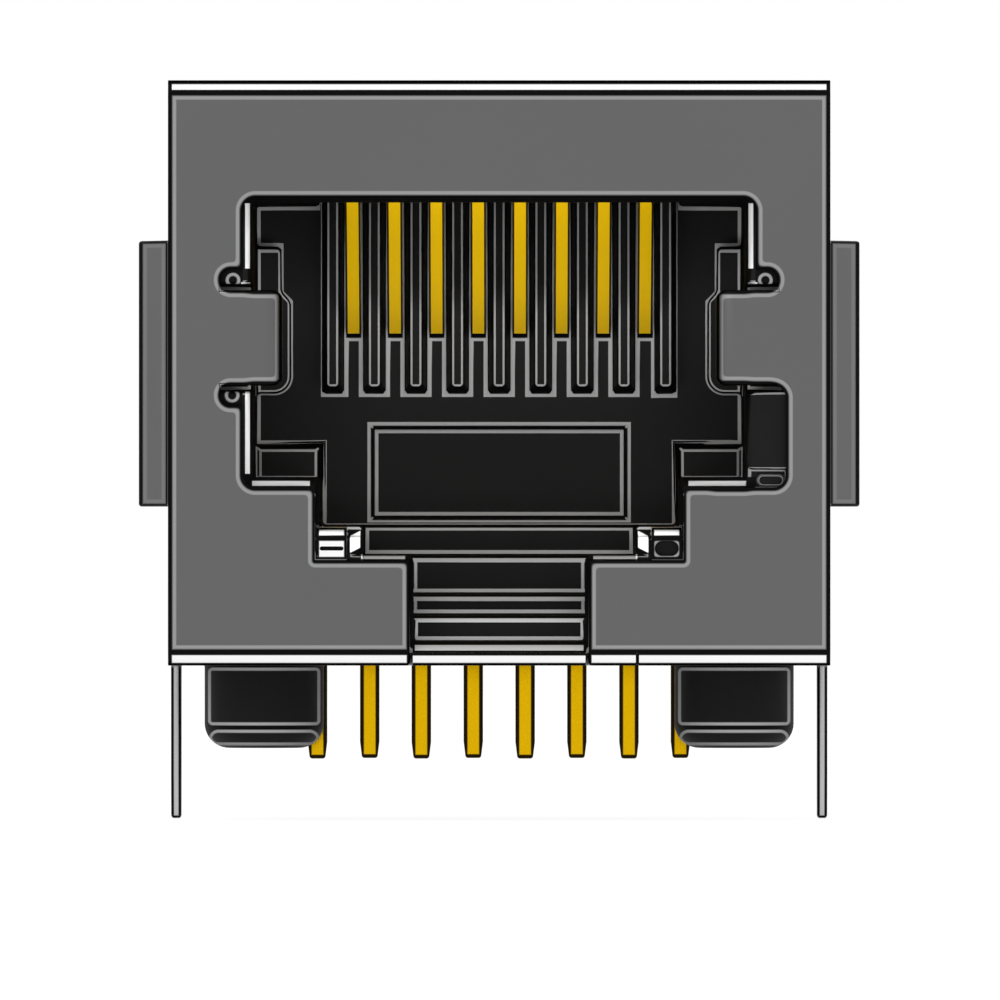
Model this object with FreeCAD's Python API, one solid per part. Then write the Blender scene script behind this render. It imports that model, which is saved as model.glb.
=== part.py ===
import FreeCAD, Part
import math
import os

from FreeCAD import Vector

# A shielded right-angle board jack for an eight-contact modular plug, latch side down.
# Millimetres. X runs to the right as the mouth is looked into, Y into the jack, Z up.
# While the pieces are built, depths are measured from the front face of the shield.
# Each piece is then moved forward by the peg setback, so that the origin lies on the
# board, midway between the two pegs. Half widths are measured from the middle plane.

# Spacings of the plug's contacts and of the pattern of holes in the board
CONTACT_COUNT = 8
CONTACT_PITCH = 1.016
TAIL_PITCH = 1.27
TAIL_ROW_GAP = 2.54
PEG_SPACING = 11.43
PEG_TO_TAILS = 6.35
PEG_TO_LEGS = 3.05
PEG_SETBACK = 7.9

# Clearances
SHIELD_GAP = 0.05
INSERT_GAP = 0.05
CONTACT_GAP = 0.03
TONGUE_GAP = 0.15

# Shield sheet and outside sizes
SHEET = 0.25
BEND_INSIDE = 0.05
SHIELD_WIDTH = 16.0
SHIELD_HEIGHT = 14.14
SHIELD_DEPTH = 18.0
SIDE_LIFT = 0.3
BOTTOM_FLANGE = 4.0
CORNER_SLIT = 0.08
SEAM_PLACE = 3.34
MIDDLE_SLIT = 1.2

# Plug cavity in the housing, as half widths and heights above the board
CAVITY_HALF = 5.955
CAVITY_ROOF = 0.55
LEDGE_FLOOR = 4.55
STEP_HALF = 4.35
RAIL_TOP = 3.39
RAIL_HALF = 3.3
STEP_FLOOR = 2.65
LATCH_HALF = 2.07
LATCH_FLOOR = 0.57

# How far the edge of the shield's opening stands back from the edges of the cavity
REVEAL_SIDE = 0.235
REVEAL_TOP = 0.09
REVEAL_LEDGE = 0.255
REVEAL_STEP = 0.095
REVEAL_SHELF = 0.11
REVEAL_LATCH = 0.26
OPENING_CORNER = 0.3
STEP_CORNER = 0.25
KEY_WIDEN = 0.73
LEAD_IN = 0.3

# Grounding tongues bent from the shield into the mouth
TONGUE_TOP = 9.07
TONGUE_BOTTOM = 6.77
TONGUE_ROOT = 6.72
TONGUE_INNER = 5.235
TONGUE_LENGTH = 3.1
TONGUE_FLARE = 1.2
TONGUE_SPREAD = 0.4
TONGUE_CORNER = 0.25
TONGUE_EDGE = 0.135
TONGUE_BEND = 0.3
NOTCH_TOP = 0.5
NOTCH_BOTTOM = 0.48

# Hold-down tabs hooked over the front ends of the floor rails
TAB_INNER = 3.68
TAB_SIDE_GAP = 0.03
TAB_TOP = 3.35
TAB_LENGTH = 1.6
TAB_EDGE = 0.08
TAB_SLOT_PLACE = 2.83
TAB_SLOT_HEIGHT = 0.1
TAB_HOLE_HEIGHT = 0.36

# Panel springs lanced from the side walls
SPRING_TOP = 10.28
SPRING_BOTTOM = 3.84
SPRING_REACH = 0.76
SPRING_ROOT = 1.6
SPRING_PEAK = 4.6
SPRING_LENGTH = 5.8
SPRING_RELIEF = 0.2

# Solder legs of the shield
LEG_WIDTH = 1.6
LEG_TIP_WIDTH = 0.8
LEG_LENGTH = 3.76
LEG_TAPER = 0.9

# Rear cover and its locks
COVER_FLANGE = 2.4
LOCK_PLACES = (4.2, 9.6)
LOCK_HEIGHT = 1.2
LOCK_LENGTH = 1.0
LOCK_SETBACK = 1.1
LOCK_PROUD = 0.2

# Depths inside the housing
STOP_PROUD = 0.85
WALL_THICKNESS = 0.9
TAIL_WALL = 0.6
CATCH_DEPTH = 1.5
TREAD_HEIGHTS = (1.21, 1.715)
TREAD_DEPTHS = (5.0, 7.0)
SHELF_DEPTH = 9.5
TREAD_CHAMFER = 0.11

# Pads, pocket and comb on the rear wall of the cavity
NOSE_HALF = 3.18
NOSE_BOTTOM = 3.48
NOSE_TOP = 5.86
NOSE_POCKET = 0.5
NOSE_CHAMFER = 0.1
CORNER_PAD_TOP = 5.33
SIDE_PAD_TOP = 10.16
SIDE_PAD_HALF = 5.33
SIDE_PAD_INNER = TONGUE_INNER - TONGUE_EDGE
PAD_BEVEL = 0.12
RIB_WIDTH = 0.53
RIB_NOSE = 0.3
RIB_BOTTOM = 6.6
RIB_SLANT = 0.16

# Ledge and oblong stud of the housing, in the let-out corner of the shield's opening
KEY_LEDGE_TOP = 4.75
KEY_LEDGE_DEPTH = 0.2
KEY_STUD_WIDTH = 0.62
KEY_STUD_HEIGHT = 0.26
KEY_STUD_EDGE = 0.05

# Pockets in the underside, which keep the moulding's walls even
CORE_WALL = 1.1
CORE_RIB = 0.9
CORE_CORNER = 0.3

# Pegs
PEG_DIAMETER = 2.9
PEG_LENGTH = 2.03
PEG_ROUND = 0.6

# Contacts
CONTACT_WIDTH = 0.38
CONTACT_THICKNESS = 0.3
CONTACT_TIP = 8.04
CONTACT_TIP_GAP = 0.35
TAIL_WIDTH = 0.48
TAIL_LENGTH = 2.33
TAIL_POINT = 0.41
TAIL_POINT_WIDTH = 0.38
TAIL_BEND = 0.5
JOG_START = 7.6
JOG_END = 11.4

# Contact insert
ARM_THICKNESS = 1.2
ARM_HEADROOM = 0.09
ARM_WALL = 0.265
NOSE_CENTRE = 3.7
GROOVE_WALL = 0.35
LEG_SHOULDER = 0.55
LEG_LIFT = 0.1
BARB_PROUD = 0.2
BARB_HEIGHT = 1.4
BARB_LENGTH = 1.2
BARB_PLACE = 8.0
WINDOW_EDGE = 0.071
WINDOW_FRONT = 2.4
ROOF = 0.5

# Derived sizes
HALF_WIDTH = SHIELD_WIDTH / 2
BEND_MIDDLE = BEND_INSIDE + SHEET / 2
BEND_OUTSIDE = BEND_INSIDE + SHEET
BODY_HALF = HALF_WIDTH - SHEET - SHIELD_GAP
BODY_TOP = SHIELD_HEIGHT - SHEET - SHIELD_GAP
COVER_HALF = BODY_HALF
COVER_TOP = BODY_TOP
BODY_BACK = SHIELD_DEPTH - SHEET - SHIELD_GAP
FLANGE_FRONT = SHIELD_DEPTH - COVER_FLANGE
FRONT_ROW = PEG_SETBACK + PEG_TO_TAILS
REAR_ROW = FRONT_ROW + TAIL_ROW_GAP
BAY_FRONT = FRONT_ROW - CONTACT_THICKNESS / 2 - TAIL_WALL
WALL_DEPTH = BAY_FRONT - WALL_THICKNESS
STOP_DEPTH = WALL_DEPTH - STOP_PROUD
BAY_TOP = BODY_TOP - ROOF
ARM_BOTTOM = BAY_TOP - ARM_HEADROOM - CONTACT_THICKNESS - ARM_THICKNESS
CAVITY_TOP = ARM_BOTTOM - CAVITY_ROOF
GROOVE_FLOOR = ARM_BOTTOM + ARM_THICKNESS
TAIL_SPREAD = (CONTACT_COUNT - 1) / 2 * TAIL_PITCH + TAIL_WIDTH / 2
COMB_HALF = CONTACT_COUNT / 2 * CONTACT_PITCH + RIB_WIDTH / 2
ARM_HALF = TAIL_SPREAD + ARM_WALL
LEG_HALF = ARM_HALF + LEG_SHOULDER
WINDOW_HALF = COMB_HALF + WINDOW_EDGE
CONTACT_TOP = GROOVE_FLOOR + CONTACT_THICKNESS
KEY_HALF = CAVITY_HALF + REVEAL_SIDE + KEY_WIDEN
KEY_FLOOR = LEDGE_FLOOR - REVEAL_LEDGE
TAB_OUTER = STEP_HALF + REVEAL_STEP - TAB_SIDE_GAP
SIDES = (-1, 1)
PAST = 1.0


def front_view(across, height):
    """A point of a drawing that is looked at along Y."""
    return Vector(across, 0, height)


def side_view(depth, height):
    """A point of a drawing that is looked at along X."""
    return Vector(0, depth, height)


def plan_view(across, depth):
    """A point of a drawing that is looked at along Z."""
    return Vector(across, depth, 0)


def block(x0, x1, y0, y1, z0, z1):
    """A plain block between two corners, in either order along X."""
    low, high = min(x0, x1), max(x0, x1)
    return Part.makeBox(high - low, y1 - y0, z1 - z0, Vector(low, y0, z0))


def outline(corners, view):
    """A face whose corners are (first, second, radius), each turned by an arc."""
    points = [Vector(c[0], c[1], 0) for c in corners]
    marks = []
    for i, corner in enumerate(corners):
        point = points[i]
        back = (points[i - 1] - point).normalize()
        ahead = (points[(i + 1) % len(points)] - point).normalize()
        radius = corner[2] if len(corner) > 2 else 0
        half = back.getAngle(ahead) / 2
        if radius <= 0:
            marks.append((point, None, point))
            continue
        reach = radius / math.tan(half)
        middle = (back + ahead).normalize() * (radius / math.sin(half) - radius)
        marks.append((point + back * reach, point + middle, point + ahead * reach))
    edges = []
    for i, (start, middle, end) in enumerate(marks):
        if middle is not None:
            arc = [view(p.x, p.y) for p in (start, middle, end)]
            edges.append(Part.Arc(*arc).toShape())
        following = marks[(i + 1) % len(marks)][0]
        if end.distanceToPoint(following) > 1e-6:
            line = Part.makeLine(view(end.x, end.y), view(following.x, following.y))
            edges.append(line)
    return Part.Face(Part.Wire(edges))


def across(corners, x0, x1):
    """A side view outline carried from x0 to x1."""
    face = outline(corners, side_view)
    face.translate(Vector(min(x0, x1), 0, 0))
    return face.extrude(Vector(abs(x1 - x0), 0, 0))


def inward(corners, y0, y1):
    """A front view outline carried from depth y0 to depth y1."""
    face = outline(corners, front_view)
    face.translate(Vector(0, y0, 0))
    return face.extrude(Vector(0, y1 - y0, 0))


def upward(corners, z0, z1):
    """A plan view outline carried from height z0 to height z1."""
    face = outline(corners, plan_view)
    face.translate(Vector(0, 0, z0))
    return face.extrude(Vector(0, 0, z1 - z0))


def ribbon(path, thickness):
    """The outline of a bent strip, from the line along its middle.

    Each point of the path is (first, second, bend radius). A corner moves out along the
    mitre of its two runs, by half the thickness to each side, and its arcs stay concentric.
    """
    half = thickness / 2
    points = [Vector(p[0], p[1], 0) for p in path]
    runs = [(b - a).normalize() for a, b in zip(points, points[1:])]
    normals = [Vector(-run.y, run.x, 0) for run in runs]
    left, right = [], []
    for i, point in enumerate(points):
        first = normals[max(i - 1, 0)]
        second = normals[min(i, len(normals) - 1)]
        mitre = (first + second) * (half / (1 + first.dot(second)))
        turn = runs[max(i - 1, 0)].cross(runs[min(i, len(runs) - 1)]).z
        radius = path[i][2] if len(path[i]) > 2 else 0
        inner, outer = (radius - half, radius + half) if radius else (0, 0)
        to_left = point + mitre
        to_right = point - mitre
        left.append((to_left.x, to_left.y, inner if turn > 0 else outer))
        right.append((to_right.x, to_right.y, outer if turn > 0 else inner))
    return left + right[::-1]


def mirrored(corners):
    """The same outline on the other side of the middle plane, still running one way."""
    return [(-c[0],) + tuple(c[1:]) for c in corners][::-1]


def sided(corners, side):
    """An outline drawn for the right side, on the side that is asked for."""
    return corners if side > 0 else mirrored(corners)


def oblong(middle, height, width, tall):
    """An outline with round ends, about a middle point."""
    radius = tall / 2 * 0.98
    return [
        (middle - width / 2, height - tall / 2, radius),
        (middle + width / 2, height - tall / 2, radius),
        (middle + width / 2, height + tall / 2, radius),
        (middle - width / 2, height + tall / 2, radius),
    ]


def mouth_outline(side, top, ledge, step, shelf, latch, main_radius, step_radius):
    """The stepped mouth, grown from the cavity's edges by the amounts given."""
    wide = CAVITY_HALF + side
    middle = STEP_HALF + step
    narrow = LATCH_HALF + step
    right = [
        (wide, CAVITY_TOP + top, main_radius),
        (wide, LEDGE_FLOOR - ledge, main_radius),
        (middle, LEDGE_FLOOR - ledge, step_radius),
        (middle, STEP_FLOOR - shelf, step_radius),
        (narrow, STEP_FLOOR - shelf, 0),
        (narrow, LATCH_FLOOR - latch, 0),
    ]
    return right + mirrored(right)


def shield_opening():
    """The opening in the shield's front, with the notches that free the tongues."""
    mouth = mouth_outline(REVEAL_SIDE, REVEAL_TOP, REVEAL_LEDGE, REVEAL_STEP,
                          REVEAL_SHELF, REVEAL_LATCH, OPENING_CORNER, STEP_CORNER)
    opening = inward(mouth, -PAST, PAST)
    low = TONGUE_BOTTOM - NOTCH_BOTTOM
    high = TONGUE_TOP + NOTCH_TOP
    for side in SIDES:
        notch = [
            (CAVITY_HALF - REVEAL_SIDE, low, 0),
            (TONGUE_ROOT, low, NOTCH_BOTTOM / 2 - 0.01),
            (TONGUE_ROOT, high, NOTCH_TOP / 2 - 0.01),
            (CAVITY_HALF - REVEAL_SIDE, high, 0),
        ]
        opening = opening.fuse(inward(sided(notch, side), -PAST, PAST))
    key = [
        (CAVITY_HALF - REVEAL_SIDE, KEY_FLOOR, 0),
        (KEY_HALF, KEY_FLOOR, OPENING_CORNER),
        (KEY_HALF, TONGUE_BOTTOM, OPENING_CORNER),
        (CAVITY_HALF - REVEAL_SIDE, TONGUE_BOTTOM, 0),
    ]
    return opening.fuse(inward(key, -PAST, PAST)).removeSplitter()


def shield_front():
    """Front plate, rolled back over the top and under the housing, with its opening."""
    half = SHEET / 2
    profile = ribbon([
        (BOTTOM_FLANGE, half),
        (half, half, BEND_MIDDLE),
        (half, SHIELD_HEIGHT - half, BEND_MIDDLE),
        (BEND_OUTSIDE + BEND_INSIDE, SHIELD_HEIGHT - half),
    ], SHEET)
    plate = across(profile, -HALF_WIDTH, HALF_WIDTH)
    plate = plate.cut(shield_opening())
    bend_top = LATCH_FLOOR - REVEAL_LATCH
    latch_edge = LATCH_HALF + REVEAL_STEP
    for side in SIDES:
        slit = block(side * (latch_edge - CORNER_SLIT), side * latch_edge,
                     -PAST, MIDDLE_SLIT, -PAST, bend_top)
        plate = plate.cut(slit)
    seam = block(SEAM_PLACE - CORNER_SLIT / 2, SEAM_PLACE + CORNER_SLIT / 2,
                 -PAST, BOTTOM_FLANGE + PAST, -PAST, bend_top)
    return plate.cut(seam)


def shield_walls():
    """Top and side walls as one folded sheet, behind the front plate."""
    middle = HALF_WIDTH - SHEET / 2
    top = SHIELD_HEIGHT - SHEET / 2
    fold = ribbon([
        (-middle, SIDE_LIFT),
        (-middle, top, BEND_MIDDLE),
        (middle, top, BEND_MIDDLE),
        (middle, SIDE_LIFT),
    ], SHEET)
    return inward(fold, BEND_OUTSIDE, SHIELD_DEPTH - BEND_OUTSIDE)


def tongue(side):
    """A spring tongue that leaves the front plate, turns into the mouth and flares."""
    middle = TONGUE_INNER + SHEET / 2
    path = [
        (TONGUE_ROOT + SHEET, SHEET / 2),
        (middle, SHEET / 2, TONGUE_BEND),
        (middle, TONGUE_LENGTH, TONGUE_FLARE),
        (middle + TONGUE_SPREAD, TONGUE_LENGTH + TONGUE_FLARE),
    ]
    strip = upward(sided(ribbon(path, SHEET), side), TONGUE_BOTTOM, TONGUE_TOP)
    face = [
        (TONGUE_INNER, TONGUE_BOTTOM, TONGUE_CORNER),
        (TONGUE_ROOT + SHEET, TONGUE_BOTTOM, 0),
        (TONGUE_ROOT + SHEET, TONGUE_TOP, 0),
        (TONGUE_INNER, TONGUE_TOP, TONGUE_CORNER),
    ]
    return strip.common(inward(sided(face, side), -PAST, STOP_DEPTH))


def hold_down_tab(side):
    """A short tab that rises from the opening's lower edge and hooks over a rail.

    The left tab is pierced by a narrow slot, the right one by a taller hole.
    """
    edge = STEP_FLOOR - REVEAL_SHELF
    path = [
        (SHEET / 2, edge - SHEET),
        (SHEET / 2, TAB_TOP - SHEET / 2, BEND_MIDDLE),
        (TAB_LENGTH, TAB_TOP - SHEET / 2),
    ]
    tab = across(ribbon(path, SHEET), side * TAB_INNER, side * TAB_OUTER)
    height = TAB_HOLE_HEIGHT if side > 0 else TAB_SLOT_HEIGHT
    hole = oblong((TAB_INNER + TAB_OUTER) / 2, TAB_SLOT_PLACE,
                  TAB_OUTER - TAB_INNER - 2 * TAB_EDGE, height)
    return tab.cut(inward(sided(hole, side), -PAST, SHEET))


def panel_spring(side):
    """A leaf lanced from the side wall, which bows out and comes back to it."""
    wall = HALF_WIDTH - SHEET / 2
    peak = wall + SPRING_REACH
    path = [
        (wall, SPRING_ROOT - SHEET),
        (wall, SPRING_ROOT + SHEET, BEND_MIDDLE),
        (peak, SPRING_PEAK, SPRING_REACH),
        (wall + SHEET, SPRING_ROOT + SPRING_LENGTH),
    ]
    return upward(sided(ribbon(path, SHEET), side), SPRING_BOTTOM, SPRING_TOP)


def spring_window(side):
    """The gap that the panel spring leaves in its wall."""
    return block(side * (HALF_WIDTH - SHEET - PAST), side * (HALF_WIDTH + PAST),
                 SPRING_ROOT, SPRING_ROOT + SPRING_LENGTH + SPRING_RELIEF,
                 SPRING_BOTTOM - SPRING_RELIEF, SPRING_TOP + SPRING_RELIEF)


def solder_leg(side):
    """A leg of the side wall, tapered at its tip to find its hole in the board."""
    middle = PEG_SETBACK + PEG_TO_LEGS
    wide = LEG_WIDTH / 2
    tip = LEG_TIP_WIDTH / 2
    shape = [
        (middle - wide, SIDE_LIFT + SHEET, 0),
        (middle - wide, LEG_TAPER - LEG_LENGTH, tip),
        (middle - tip, -LEG_LENGTH, tip / 2),
        (middle + tip, -LEG_LENGTH, tip / 2),
        (middle + wide, LEG_TAPER - LEG_LENGTH, tip),
        (middle + wide, SIDE_LIFT + SHEET, 0),
    ]
    return across(shape, side * (HALF_WIDTH - SHEET), side * HALF_WIDTH)


def lock_window(side, height):
    """A window in the side wall that catches a lock of the rear cover."""
    front = SHIELD_DEPTH - LOCK_SETBACK - LOCK_LENGTH
    return block(side * (HALF_WIDTH - SHEET - SHIELD_GAP / 2), side * (HALF_WIDTH + PAST),
                 front, front + LOCK_LENGTH, height, height + LOCK_HEIGHT)


def build_front_shield():
    """The stamped shield: front, top and sides with tongues, tabs, springs and legs."""
    shield = shield_front().fuse(shield_walls())
    for side in SIDES:
        shield = shield.cut(spring_window(side))
        for height in LOCK_PLACES:
            shield = shield.cut(lock_window(side, height))
    for side in SIDES:
        pieces = [tongue(side), hold_down_tab(side), panel_spring(side), solder_leg(side)]
        shield = shield.fuse(pieces)
    return shield.removeSplitter()


def lock(side, height):
    """A ramp pressed out of the cover's flange, with its square end to the front."""
    front = SHIELD_DEPTH - LOCK_SETBACK - LOCK_LENGTH + SHIELD_GAP
    back = front + LOCK_LENGTH - 2 * SHIELD_GAP
    ramp = [
        (COVER_HALF - SHEET / 2, front, 0),
        (COVER_HALF, front, 0),
        (COVER_HALF + LOCK_PROUD, back, 0),
        (COVER_HALF - SHEET / 2, back, 0),
    ]
    low = height + SHIELD_GAP
    high = height + LOCK_HEIGHT - SHIELD_GAP
    return upward(sided(ramp, side), low, high)


def build_rear_cover():
    """The cover that closes the back, with flanges inside the shield's walls and roof."""
    middle = COVER_HALF - SHEET / 2
    back = SHIELD_DEPTH - SHEET / 2
    sides = ribbon([
        (-middle, FLANGE_FRONT),
        (-middle, back, BEND_MIDDLE),
        (middle, back, BEND_MIDDLE),
        (middle, FLANGE_FRONT),
    ], SHEET)
    top = COVER_TOP - SHEET / 2
    roof = ribbon([
        (back, COVER_TOP - SHEET * 3),
        (back, top, BEND_MIDDLE),
        (FLANGE_FRONT, top),
    ], SHEET)
    shoulder = COVER_TOP - BEND_OUTSIDE - SHEET
    roof_half = COVER_HALF - BEND_OUTSIDE - SHEET
    cover = upward(sides, SIDE_LIFT, shoulder)
    rise = block(-roof_half, roof_half, SHIELD_DEPTH - SHEET, SHIELD_DEPTH,
                 shoulder - SHEET, COVER_TOP - SHEET * 3)
    cover = cover.fuse([rise, across(roof, -roof_half, roof_half)])
    for side in SIDES:
        for height in LOCK_PLACES:
            cover = cover.fuse(lock(side, height))
    return cover.removeSplitter()


def housing_blank():
    """The outside of the housing, stepped in where the shield and its cover lap it."""
    profile = [
        (SHEET, SHEET, BEND_INSIDE),
        (BOTTOM_FLANGE + SHIELD_GAP, SHEET, 0),
        (BOTTOM_FLANGE + SHIELD_GAP, 0, 0),
        (BODY_BACK, 0, 0),
        (BODY_BACK, COVER_TOP - SHEET - SHIELD_GAP, 0),
        (FLANGE_FRONT - SHIELD_GAP, COVER_TOP - SHEET - SHIELD_GAP, 0),
        (FLANGE_FRONT - SHIELD_GAP, BODY_TOP, 0),
        (SHEET, BODY_TOP, 0),
    ]
    blank = across(profile, -BODY_HALF, BODY_HALF)
    for side in SIDES:
        lap = block(side * (COVER_HALF - SHEET - SHIELD_GAP), side * (BODY_HALF + PAST),
                    FLANGE_FRONT - SHIELD_GAP, BODY_BACK + PAST, -PAST, BODY_TOP + PAST)
        blank = blank.cut(lap)
    return blank


def plug_cavity():
    """The room for the plug: a tall upper part, a step, and the well for its latch."""
    chest = block(-CAVITY_HALF, CAVITY_HALF, 0, WALL_DEPTH, LEDGE_FLOOR, CAVITY_TOP)
    step = block(-STEP_HALF, STEP_HALF, 0, WALL_DEPTH, RAIL_TOP, LEDGE_FLOOR)
    slot = block(-LATCH_HALF, LATCH_HALF, 0, CATCH_DEPTH, LATCH_FLOOR, RAIL_TOP)
    shelf = block(-RAIL_HALF, RAIL_HALF, 0, SHELF_DEPTH, STEP_FLOOR, RAIL_TOP)
    low, high = TREAD_HEIGHTS
    near, far = TREAD_DEPTHS
    cut = TREAD_CHAMFER
    well = [
        (CATCH_DEPTH, RAIL_TOP, 0),
        (CATCH_DEPTH, low - cut, 0),
        (CATCH_DEPTH + cut, low, 0),
        (near, low, 0),
        (near, high - cut, 0),
        (near + cut, high, 0),
        (far, high, 0),
        (far, STEP_FLOOR - cut, 0),
        (far + cut, STEP_FLOOR, 0),
        (SHELF_DEPTH, STEP_FLOOR, 0),
        (SHELF_DEPTH, RAIL_TOP, 0),
    ]
    latch_well = across(well, -RAIL_HALF, RAIL_HALF)
    return chest.fuse([step, slot, shelf, latch_well]).removeSplitter()


def lead_in():
    """The bevel around the mouth, from the shield's opening down to the cavity's edges."""
    outer = outline(mouth_outline(REVEAL_SIDE, REVEAL_TOP, REVEAL_LEDGE, REVEAL_STEP,
                                  REVEAL_SHELF, REVEAL_LATCH, 0, 0), front_view)
    inner = outline(mouth_outline(0, 0, 0, 0, 0, 0, 0, 0), front_view)
    outer.translate(Vector(0, SHEET, 0))
    inner.translate(Vector(0, SHEET + LEAD_IN, 0))
    bevel = Part.makeLoft([outer.OuterWire, inner.OuterWire], True, True)
    for side in SIDES:
        rail = block(side * RAIL_HALF, side * HALF_WIDTH, 0, PAST, 0, RAIL_TOP)
        bevel = bevel.cut(rail)
    return bevel


def tab_room(ceiling, x0, x1):
    """The room for a tab's bend and its run back over the rail, up to a ceiling."""
    low = TAB_TOP - SHEET
    back = TAB_LENGTH + SHIELD_GAP
    return across([
        (SHEET - PAST, low - BEND_INSIDE),
        (SHEET, low - BEND_INSIDE),
        (SHEET + BEND_INSIDE, low),
        (back, low),
        (back, ceiling),
        (SHEET - PAST, ceiling),
    ], x0, x1)


def tab_seat(side):
    """What is cut from the front end of a floor rail: the tab's seat and two bevels."""
    low = TAB_TOP - SHEET
    bevel = RAIL_TOP - low
    seat = tab_room(LEDGE_FLOOR, side * RAIL_HALF, side * STEP_HALF)
    relief = tab_room(TAB_TOP + TAB_SIDE_GAP, side * STEP_HALF, side * (TAB_OUTER + TAB_SIDE_GAP))
    corner = [
        (RAIL_HALF - PAST, SHEET - PAST),
        (RAIL_HALF + bevel, SHEET - PAST),
        (RAIL_HALF + bevel, SHEET),
        (RAIL_HALF, SHEET + bevel),
        (RAIL_HALF - PAST, SHEET + bevel),
    ]
    return seat.fuse([relief, upward(sided(corner, side), STEP_FLOOR, LEDGE_FLOOR)])


def frustum(wide, narrow, y0, y1):
    """A block between two upright rectangles (x0, x1, z0, z1), the second at depth y1."""
    wires = []
    for (x0, x1, z0, z1), depth in ((wide, y0), (narrow, y1)):
        face = outline([(x0, z0), (x1, z0), (x1, z1), (x0, z1)], front_view)
        face.translate(Vector(0, depth, 0))
        wires.append(face.OuterWire)
    return Part.makeLoft(wires, True, True)


def comb_rib(place):
    """A rib between two contacts, tapered from the wall to its narrow front face."""
    base = RIB_WIDTH / 2
    nose = RIB_NOSE / 2
    return frustum((place - base, place + base, RIB_BOTTOM, ARM_BOTTOM),
                   (place - nose, place + nose, RIB_BOTTOM + RIB_SLANT, ARM_BOTTOM),
                   WALL_DEPTH, STOP_DEPTH)


def corner_pad(side):
    """A stop for the plug's nose in a lower corner of the cavity, bevelled at its face."""
    inner, outer = STEP_HALF, CAVITY_HALF
    x0, x1 = (inner, outer) if side > 0 else (-outer, -inner)
    low, high = LEDGE_FLOOR, CORNER_PAD_TOP
    edge = STOP_DEPTH + PAD_BEVEL
    face = (x0 + PAD_BEVEL, x1 - PAD_BEVEL, low, high - PAD_BEVEL)
    pad = block(x0, x1, edge, WALL_DEPTH, low, high)
    return pad.fuse(frustum((x0, x1, low, high), face, edge, STOP_DEPTH))


def side_pad(side):
    """A stop on the side of the rear wall, wider where a tongue lies in front of it."""
    wider = SIDE_PAD_HALF - SIDE_PAD_INNER
    shape = [
        (CAVITY_HALF, TONGUE_BOTTOM - TONGUE_GAP, 0),
        (SIDE_PAD_INNER, TONGUE_BOTTOM - TONGUE_GAP, TONGUE_CORNER + TONGUE_GAP),
        (SIDE_PAD_INNER, TONGUE_TOP - wider, 0),
        (SIDE_PAD_HALF, TONGUE_TOP, 0),
        (SIDE_PAD_HALF, SIDE_PAD_TOP, 0),
        (CAVITY_HALF, SIDE_PAD_TOP, 0),
    ]
    return inward(sided(shape, side), STOP_DEPTH, WALL_DEPTH)


def nose_pocket():
    """The bevelled pocket in the rear wall, opposite the root of the plug's latch."""
    bevel = NOSE_CHAMFER
    floor = (bevel - NOSE_HALF, NOSE_HALF - bevel, NOSE_BOTTOM + bevel, NOSE_TOP - bevel)
    mouth = (-NOSE_HALF, NOSE_HALF, NOSE_BOTTOM, NOSE_TOP)
    flare = frustum(mouth, floor, WALL_DEPTH, WALL_DEPTH + bevel)
    well = block(floor[0], floor[1], WALL_DEPTH, WALL_DEPTH + NOSE_POCKET, floor[2], floor[3])
    return flare.fuse(well)


def insert_room():
    """The bay that takes the contact insert, and the window that its contacts hang in."""
    arm_half = ARM_HALF + INSERT_GAP
    leg_half = LEG_HALF + INSERT_GAP
    arm = block(-arm_half, arm_half, WINDOW_FRONT, BAY_FRONT, ARM_BOTTOM, BAY_TOP)
    leg = block(-leg_half, leg_half, BAY_FRONT, BODY_BACK + PAST, -PAST, BAY_TOP)
    window = block(-WINDOW_HALF, WINDOW_HALF, WINDOW_FRONT, WALL_DEPTH, CAVITY_TOP - PAST, ARM_BOTTOM)
    room = arm.fuse([leg, window])
    for side in SIDES:
        room = room.fuse(barb(side, INSERT_GAP))
    return room


def tongue_pocket(side):
    """The pocket in the mouth's side wall that a tongue is pressed into by the plug."""
    reach = TONGUE_ROOT + SHEET
    return block(side * (CAVITY_HALF - PAST), side * reach, 0,
                 TONGUE_LENGTH + TONGUE_FLARE + SHEET,
                 TONGUE_BOTTOM - TONGUE_GAP, TONGUE_TOP + TONGUE_GAP)


def key_ledge():
    """The ledge cut below the let-out corner of the opening, around its oblong stud."""
    back = SHEET + KEY_LEDGE_DEPTH
    ledge = block(CAVITY_HALF, KEY_HALF, 0, back, KEY_FLOOR, KEY_LEDGE_TOP)
    middle = KEY_HALF - KEY_STUD_EDGE - KEY_STUD_WIDTH / 2
    height = KEY_FLOOR + KEY_STUD_EDGE + KEY_STUD_HEIGHT / 2
    stud = inward(oblong(middle, height, KEY_STUD_WIDTH, KEY_STUD_HEIGHT), SHEET, back)
    return ledge.cut(stud)


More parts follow.
